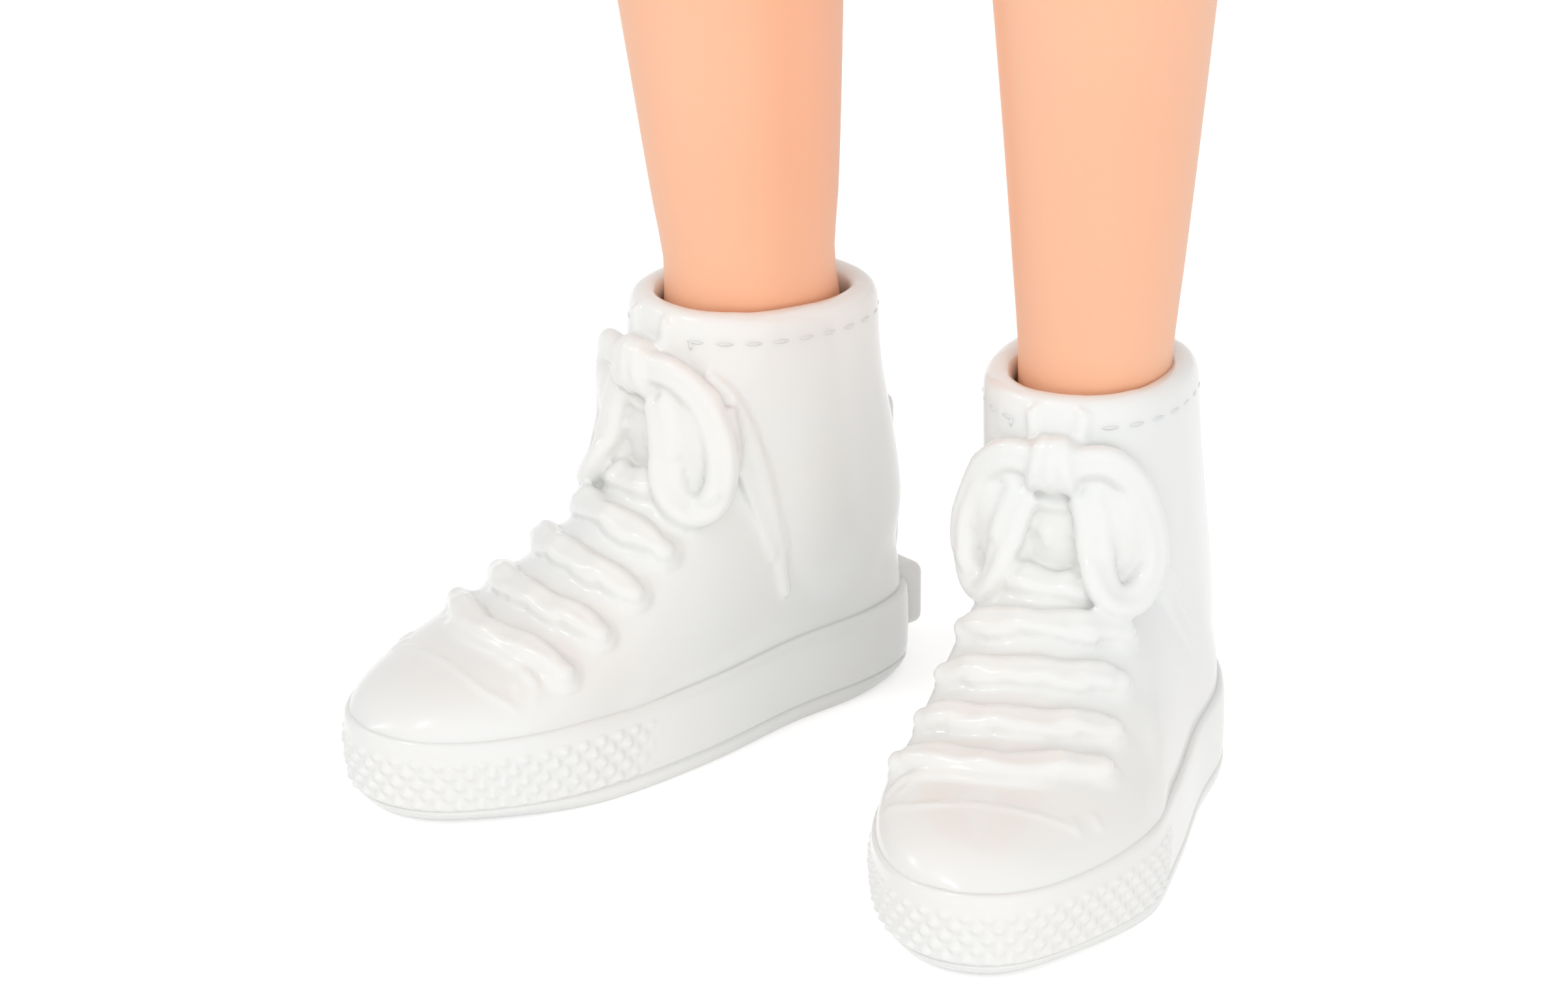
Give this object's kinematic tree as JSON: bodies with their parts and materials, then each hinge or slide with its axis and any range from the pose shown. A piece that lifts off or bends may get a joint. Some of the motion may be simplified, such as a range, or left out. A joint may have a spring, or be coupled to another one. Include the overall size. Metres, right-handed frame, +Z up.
{
  "type": "fashion doll",
  "caption": "Standing fashion doll with a turning head, swinging arms and legs, tank top, denim shorts and moulded high-top sneakers.",
  "frame": {"origin": "on the ground under the doll, at the middle of its width and of its depth", "axes": "+Z up along the standing doll, -Y the way it faces, +X its left side"},
  "size_m": [0.074, 0.0428, 0.3011],
  "materials": {
    "skin": "peach vinyl, satin",
    "white_vinyl": "glossy moulded white vinyl",
    "hair": "brown fibre, combed",
    "elastic": "white covered elastic",
    "knit": "off-white ribbed knit",
    "denim": "washed blue denim",
    "metal": "bright plated metal",
    "core_plastic": "plain hard plastic"
  },
  "bodies": {
    "torso": {"torso_front": "skin", "torso_back": "skin", "hip_axle": "core_plastic", "neck_knob": "core_plastic", "tank_top": "knit", "top_back_closure": "knit", "shorts_yoke": "denim", "shorts_waistband": "denim", "shorts_button": "metal", "back_pocket_left": "denim", "back_pocket_right": "denim"},
    "head": {"head": "skin", "hair": "hair", "hair_tie": "elastic", "earring_left": "metal", "earring_right": "metal"},
    "arm_left": {"arm_left": "skin"},
    "arm_right": {"arm_right": "skin"},
    "leg_left": {"leg_left": "skin", "shoe_left": "white_vinyl", "shorts_leg_left": "denim"},
    "leg_right": {"leg_right": "skin", "shoe_right": "white_vinyl", "shorts_leg_right": "denim"}
  },
  "joints": [
    {"name": "neck_turn", "type": "hinge", "parent": "torso", "child": "head", "pos_m": [0, -0.00265, 0.258], "axis": [0, 0, 1], "continuous": true},
    {"name": "shoulder_left", "type": "hinge", "parent": "torso", "child": "arm_left", "pos_m": [0.0242, -0.00265, 0.233], "axis": [1, 0, 0], "continuous": true},
    {"name": "shoulder_right", "type": "hinge", "parent": "torso", "child": "arm_right", "pos_m": [-0.0242, -0.00265, 0.233], "axis": [1, 0, 0], "continuous": true},
    {"name": "hip_left", "type": "hinge", "parent": "torso", "child": "leg_left", "pos_m": [0.0115, -0.00265, 0.154], "axis": [-1, 0, 0], "range_deg": [-14, 90]},
    {"name": "hip_right", "type": "hinge", "parent": "torso", "child": "leg_right", "pos_m": [-0.0115, -0.00265, 0.154], "axis": [-1, 0, 0], "range_deg": [-14, 90]}
  ]
}
